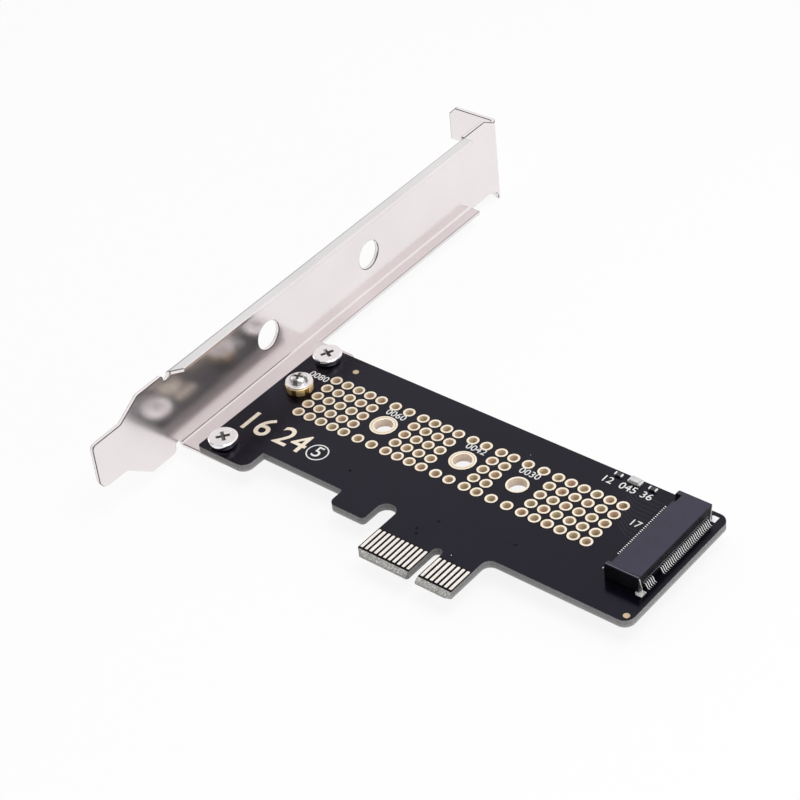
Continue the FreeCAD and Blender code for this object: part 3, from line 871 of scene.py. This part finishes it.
moduleScrewLook = {
    "reach": 0.98, "arm": 0.26, "depth": 0.5, "taper": 0.6, "turn": 20, "sides": 44, "reflectionStreak": (11, 4),
    "flat": 1.12, "head": 1.65, "ledge": 0.35, "shank": 1.0, "point": 0.2,
    "crown": [(0.78, 0.08), (0.90, 0.24), (0.975, 0.46), (1.0, 0.66)],  # down from the top
    "neck": [(0.01, 0.08), (0.10, -0.03)],  # out from the head, up from the ledge
    "rim": [(0.14, 0.0), (0.03, 0.06), (0.0, 0.16)],  # in from the flange's edge, down from the ledge
    "under": [(0.04, 0.03), (0.14, 0.0)],  # in from the flange's edge, up from the seat
    "domeFrom": 0.02, "domeTilt": 0.95,
}


def paintedReflectionAt(face, centre, look):
    # dark upright streaks of painted reflection, a few faces wide, at even steps round the axis
    period, wide = look["reflectionStreak"]
    middle = face.calc_center_median() - centre
    return int(math.atan2(middle.y, middle.x) / (2 * math.pi) * look["sides"] + look["sides"]) % period < wide


def makeModuleScrew():
    look = moduleScrewLook
    low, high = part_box("module_screw")
    centre = (low + high) / 2
    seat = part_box("standoff")[1].z / mm
    top, tip, flange = high.z / mm, low.z / mm, (high.x - low.x) / 2 / mm
    ledge, head, shank = seat + look["ledge"], look["head"], look["shank"]
    profile = [(look["flat"], top)] + [(head * share, top - fall) for share, fall in look["crown"]]
    profile += [(head + out, ledge + rise) for out, rise in look["neck"]]
    profile += [(flange - inward, ledge - fall) for inward, fall in look["rim"]]
    profile += [(flange - inward, seat + rise) for inward, rise in look["under"]]
    profile += [(shank, seat)] + pointed(shank, tip, look["point"])
    bm = spun(profile, look["sides"], closed=False)
    headTop(bm, top * mm, look, look["turn"])
    bmesh.ops.recalc_face_normals(bm, faces=bm.faces)
    moveBy(bm, centre.x, centre.y)
    # the dome gets its steel with dark streaks of painted reflection; the flange and the rest keep the
    # lighter steel, painted light
    for face in bm.faces:
        onDome = face.calc_center_median().z > (ledge + look["domeFrom"]) * mm
        if face.material_index == 0 and onDome:
            inReflectionStreak = face.normal.z < look["domeTilt"] and paintedReflectionAt(face, centre, look)
            face.material_index = 3 if inReflectionStreak else 2
    looks = ["headSteelPaintedLight", "recessSteelPaintedShade", "domeSteel", "domePaintedReflection"]
    finish("moduleScrew", bm, looks, ["module_screw"])


standoffLook = {
    "sides": 52, "reflectionStreak": (8, 3), "bore": 1.05, "stub": 1.5, "seat": 0.05, "mouth": 0.12,
    "shoulder": [(0.22, 0.0), (0.04, 0.1), (0.0, 0.2)],  # in from the side, down from the top
    "heel": [(0.0, 0.14), (0.04, 0.04), (0.14, 0.0)],  # in from the side, up from the seat
    "point": 0.15, "end": 0.1, "sideBand": 0.05,
    "thread": {"inset": 0.02, "pitch": 0.45, "top": -1.7, "gap": 0.2, "depth": 0.035},
    "nutEdge": 0.08 * mm, "nutAngle": 35,
}


def makeStandoff():
    look = standoffLook
    low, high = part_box("standoff")
    centre = (low + high) / 2
    top, tip, wide = high.z / mm, low.z / mm, (high.x - low.x) / 2 / mm
    bore, stub, seat, point, end = (look[k] for k in ("bore", "stub", "seat", "point", "end"))
    profile = [(bore, top - look["mouth"]), (bore + look["mouth"], top)]
    profile += [(wide - inward, top - fall) for inward, fall in look["shoulder"]]
    profile += [(wide - inward, seat + rise) for inward, rise in look["heel"]]
    profile += [(stub, seat), (stub, tip + point), (stub - point, tip), (bore + end, tip), (bore, tip + end)]
    bm = spun(profile, look["sides"])
    # upright bands of the brass side are painted dark: painted reflection
    for face in bm.faces:
        middle = face.calc_center_median()
        if math.hypot(middle.x, middle.y) / mm > wide - look["sideBand"] and paintedReflectionAt(face, Vector(), look):
            face.material_index = 1
    threadRidge(bm, stub, tip, look["thread"])
    bmesh.ops.recalc_face_normals(bm, faces=bm.faces)
    moveBy(bm, centre.x, centre.y)
    finish("standoffBody", bm, ["turnedBrass", "brassPaintedReflection"], ["standoff"])
    softened("standoffNut", "standoff_nut", "turnedBrass", "standoff_brass", look["nutEdge"],
             angle=look["nutAngle"])


# Socket

socketLook = {
    "edge": 0.07 * mm, "angle": 40, "lit": 0.5,
    "rail": {"from": (-3.91, -10.77), "to": (2.60, -10.77), "wide": 0.10, "low": -0.02, "high": 0.08},
    "groove": {"from": (-2.29, -10.69), "to": (2.60, -10.28), "wide": 0.13, "low": -0.02, "high": 0.006},
    "ledge": {"from": (2.72, -9.6), "to": (2.72, 9.6), "wide": 0.06, "low": 1.42, "high": 1.50},
}


def line(look, base=0.0):
    return bar(look["from"], look["to"], look["wide"], base + look["low"], base + look["high"])


def makeSocket():
    look = socketLook
    bm = mergedCopy("socket_housing")
    simplify(bm)
    softenEdges(bm, look["edge"], angle=look["angle"])
    # faces turned up keep the black plastic as the lit ones; all other faces are painted darker, as painted
    # shade
    for face in bm.faces:
        face.material_index = 0 if face.normal.z > look["lit"] else 1
    finish("socketBody", bm, ["mouldedBlack", "mouldedPaintedShade"], ["socket_housing"])
    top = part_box("socket_housing")[1].z / mm
    # a thin rail along the top's near edge and a ledge above the rear tails, in lighter plastic: painted
    # highlight
    rim = bmesh.new()
    addTo(rim, line(look["rail"], top))
    addTo(rim, line(look["ledge"]))
    finish("socketRims", rim, ["mouldedPaintedHighlight"])
    # a thin dark strip laid on the top, painted shade standing in for a groove
    finish("socketGroovePaintedShade", line(look["groove"], top), ["mouldedPaintedShade"])


beamLook = {
    "wide": 0.2,
    "rows": {
        "socketUpperBeams": {"node": "socket_rear_contacts", "level": 2.45, "way": -1},
        "socketLowerBeams": {"node": "socket_front_contacts", "level": 1.15, "way": 1},
    },
    "path": [  # x, and how far the beam springs into the slot there
        (1.4, 0.02), (0.2, 0.05), (-0.9, 0.34), (-1.3, 0.36), (-1.75, 0.18),
        (-1.7, 0.08), (-1.25, 0.24), (-0.9, 0.22), (0.25, -0.03), (1.4, -0.06),
    ],
}


def makeBeams():
    for name, row in beamLook["rows"].items():
        path = [(x, row["level"] + row["way"] * spring) for x, spring in beamLook["path"]]
        bm = stamped(standing(path, beamLook["wide"]), inRow(solidsOf(row["node"]), 0))
        finish(name, bm, ["goldPad"])


tailLook = {
    "thick": 0.12,
    "rear": {"wide": 0.16, "heel": (0.10, 0.04), "knee": (0.55, 0.10), "toe": 0.68, "instep": 0.74,
             "shin": (0.66, 0.18), "shoulder": (0.22, 0.03)},
    "front": {"wide": 0.20, "bright": 0.30, "swell": (0.7, 0.05), "tip": 0.03},
    "pad": {"wide": 0.24, "round": 0.03, "high": 0.03, "steps": 2},
}


def makeRearTails():
    look, thick = tailLook["rear"], tailLook["thick"]
    boxes = solidsOf("socket_rear_contacts")
    low, high = boxes[0]
    reach, top = (high.x - low.x) / mm, high.z / mm
    (heel, drop), (knee, kneeHigh), (shin, shinHigh) = look["heel"], look["knee"], look["shin"]
    shoulder, fall = look["shoulder"]
    path = [(0.0, top), (0.0, top - thick), (heel, top - thick - drop), (reach * knee, kneeHigh),
            (reach * look["toe"], 0.0), (reach, 0.0), (reach, thick), (reach * look["instep"], thick),
            (reach * shin, shinHigh), (shoulder, top - fall)]
    tails = stamped(standing(path, look["wide"]), inRow(boxes, low.x))
    finish("rearTails", tails, ["tinnedMetal"], ["socket_rear_contacts"])
    pad = tailLook["pad"]
    half = pad["wide"] / 2 * mm
    outline = [(-half, -half), (half, -half), (half, half), (-half, half)]
    one = plate(outline, [pad["round"] * mm] * 4, 0, pad["high"] * mm, pad["steps"])
    finish("rearPads", stamped(one, inRow(boxes, high.x)), ["dullMetalAndPaintedShadow"])


def makeFrontTails():
    look = tailLook["front"]
    boxes = solidsOf("socket_front_contacts")
    low, high = boxes[0]
    reach, bright = (high.x - low.x) / mm, look["bright"]
    thick = min(high.z / mm, tailLook["thick"])
    share, swell = look["swell"]
    path = [(0.0, 0.0), (0.0, thick), (-reach + bright, thick), (-reach + bright * share, thick + swell),
            (-reach, thick + look["tip"]), (-reach, 0.0), (-reach + bright, 0.0)]
    bm = standing(path, look["wide"])
    # the part of each tail under the socket is painted dark metal as painted shadow; only the bright end is
    # tinned
    for face in bm.faces:
        if face.calc_center_median().x / mm > -reach + bright:
            face.material_index = 1
    tails = stamped(bm, inRow(boxes, high.x))
    finish("frontTails", tails, ["tinnedMetal", "dullMetalAndPaintedShadow"], ["socket_front_contacts"])


# Small parts

anchorLook = {
    "foot": [(2.12, 10.12), (3.70, 10.12), (3.70, 11.60), (2.60, 11.60), (2.12, 11.20)],
    "footHigh": 0.12, "footRound": 0.12, "footSteps": 3,
    "strip": [(10.76, 2.94), (10.49, 1.76), (10.06, 0.10)], "wide": 0.20, "inner": 2.68, "outer": 2.84,
}


def makeAnchors():
    look = anchorLook
    half = look["wide"] / 2
    upright = Matrix(((0, 0, 1), (1, 0, 0), (0, 1, 0)))
    bm = bmesh.new()
    for side in (-1, 1):
        foot = inMetres([(x, side * y) for x, y in look["foot"]])
        rounds = [look["footRound"] * mm] * len(foot)
        addTo(bm, plate(foot, rounds, 0.0, look["footHigh"] * mm, look["footSteps"]))
        outline = [(side * (y + half), z) for y, z in look["strip"]]
        outline += [(side * (y - half), z) for y, z in reversed(look["strip"])]
        strip = plate(inMetres(outline), [0] * len(outline), look["inner"] * mm, look["outer"] * mm)
        bmesh.ops.rotate(strip, verts=strip.verts, cent=(0, 0, 0), matrix=upright)
        addTo(bm, strip)
    finish("socketAnchors", bm, ["tinnedMetal"], ["socket_anchors"])


smallParts = {
    "resistorBodies": ("resistor_bodies", "chipBlack", "resistor_black", 0.04 * mm),
    "resistorCaps": ("resistor_terminals", "tinnedMetal", "solder_tin", 0.05 * mm),
    "ledBody": ("led_lens", "milkyWhite", "led_white", 0.06 * mm),
    "ledCaps": ("led_terminals", "tinnedMetal", "solder_tin", 0.04 * mm),
    "fiducials": ("fiducial_marks", "dotCopper", "gold_copper", 0.015 * mm),
}


def makeSmallParts():
    for name, row in smallParts.items():
        softened(name, *row)


traceLook = {
    "wide": 0.14, "high": 0.012,
    "fan": {"rows": 11, "from": (-6.1, -0.6), "pitch": 1.0, "lead": 0.8, "step": 0.45, "run": 2.6,
            "slope": 0.6},
    "vias": [(-57.0, -13.0), (-35.5, -15.0), (-37.6, -18.4), (-36.9, -19.5), (-21.0, -12.6)],
    "cap": [(0.30, 0.0), (0.27, 0.014), (0.14, 0.016), (0.10, 0.004), (0, 0.004)], "capSides": 14,
    "dots": [(-28.5, -20.6, 0.09), (-32.8, 7.7, 0.07), (-5.62, -9.14, 0.13)],
    "dot": [(1.0, 0.0), (0.85, 0.03), (0.0, 0.035)], "dotSides": 12,  # shares of the radius, and heights
}


def makeTraces():
    look, fan = traceLook, traceLook["fan"]
    first, y = fan["from"]
    bm = bmesh.new()
    for row in range(fan["rows"]):
        level = y + row * fan["pitch"]
        bend = first - fan["lead"] - row * fan["step"]
        stops = [(first, level), (bend, level), (bend - fan["run"], level + fan["run"] * fan["slope"])]
        for start, end in zip(stops, stops[1:]):
            addTo(bm, bar(start, end, look["wide"], 0.0, look["high"]))
    finish("boardTraces", bm, ["tracedMask"])
    cap = spun(look["cap"], look["capSides"], closed=False)
    vias = stamped(cap, [Vector((x, y, 0)) for x, y in inMetres(look["vias"])])
    finish("tentedVias", vias, ["maskGap"])
    dots = bmesh.new()
    for x, y, radius in look["dots"]:
        profile = [(radius * share, height) for share, height in look["dot"]]
        dot = spun(profile, look["dotSides"], closed=False)
        moveBy(dot, x * mm, y * mm)
        addTo(dots, dot)
    finish("tinDots", dots, ["tinnedMetal"])


# Print

printLook = {
    "thick": 0.02, "size": 1.4, "steps": 4,
    "inks": {
        "printInk": {"bold": 0.006, "slot": "led_white"},
        "goldPad": {"bold": 0.012, "slot": "gold_copper"},
    },
    "ring": {"outer": 2.15, "inner": 1.9, "sides": 48, "place": (-65.15, -12.4)},
}
words = [
    ("0030", -29.9, 3.50, 1.55, "printInk"),
    ("0042", -41.8, 3.70, 1.55, "printInk"),
    ("0060", -59.9, 3.50, 1.55, "printInk"),
    ("0080", -79.2, 4.55, 1.55, "printInk"),
    ("12", -17.8, 9.60, 1.70, "printInk"),
    ("045", -13.5, 9.60, 1.70, "printInk"),
    ("36", -9.7, 9.60, 1.70, "printInk"),
    ("17", -7.35, 2.75, 1.60, "printInk"),
    ("16", -79.7, -12.35, 5.2, "goldPad"),
    ("24", -71.2, -12.3, 5.0, "goldPad"),
    ("5", -65.15, -12.4, 2.8, "printInk"),
]


def printWord(name, text, x, y, height, look):
    ink, thick = printLook["inks"][look], printLook["thick"] * mm
    curve = bpy.data.curves.new(name, "FONT")
    curve.body = text
    curve.size = height * mm * printLook["size"]
    curve.align_x = "CENTER"
    curve.align_y = "CENTER"
    curve.extrude = thick / 2
    curve.offset = ink["bold"] * height * mm
    curve.resolution_u = printLook["steps"]
    holder = bpy.data.objects.new(name, curve)
    bpy.context.scene.collection.objects.link(holder)
    bpy.context.view_layer.update()
    mesh = bpy.data.meshes.new_from_object(holder)
    bpy.data.objects.remove(holder)
    bm = bmesh.new()
    bm.from_mesh(mesh)
    bpy.data.meshes.remove(mesh)
    bmesh.ops.remove_doubles(bm, verts=bm.verts, dist=touch)
    moveBy(bm, x * mm, y * mm, thick / 2)
    finish(name, bm, [look])


def makePrint():
    for index, word in enumerate(words):
        printWord("print%02d" % index, *word)
    ring, thick = printLook["ring"], printLook["thick"]
    outer, inner, (x, y) = ring["outer"], ring["inner"], ring["place"]
    bm = spun([(outer, 0), (outer, thick), (inner, thick), (inner, 0)], ring["sides"])
    moveBy(bm, x * mm, y * mm)
    finish("printRing", bm, ["printInk"])


makeCamera()
makeStudio()
holes = heatHoles()
print(len(holes), "heat holes")
makeBoard(holes)
makeLinings(holes)
makeFingerGaps(makeFingers("fingersFront", "edge_fingers_front"))
makeFingers("fingersBack", "edge_fingers_back")
makeBracket()
makeBracketScrews()
makeStandoff()
makeModuleScrew()
makeSocket()
makeBeams()
makeRearTails()
makeFrontTails()
makeAnchors()
makeSmallParts()
makeTraces()
makePrint()

bpy.context.scene.view_settings.view_transform = "Standard"
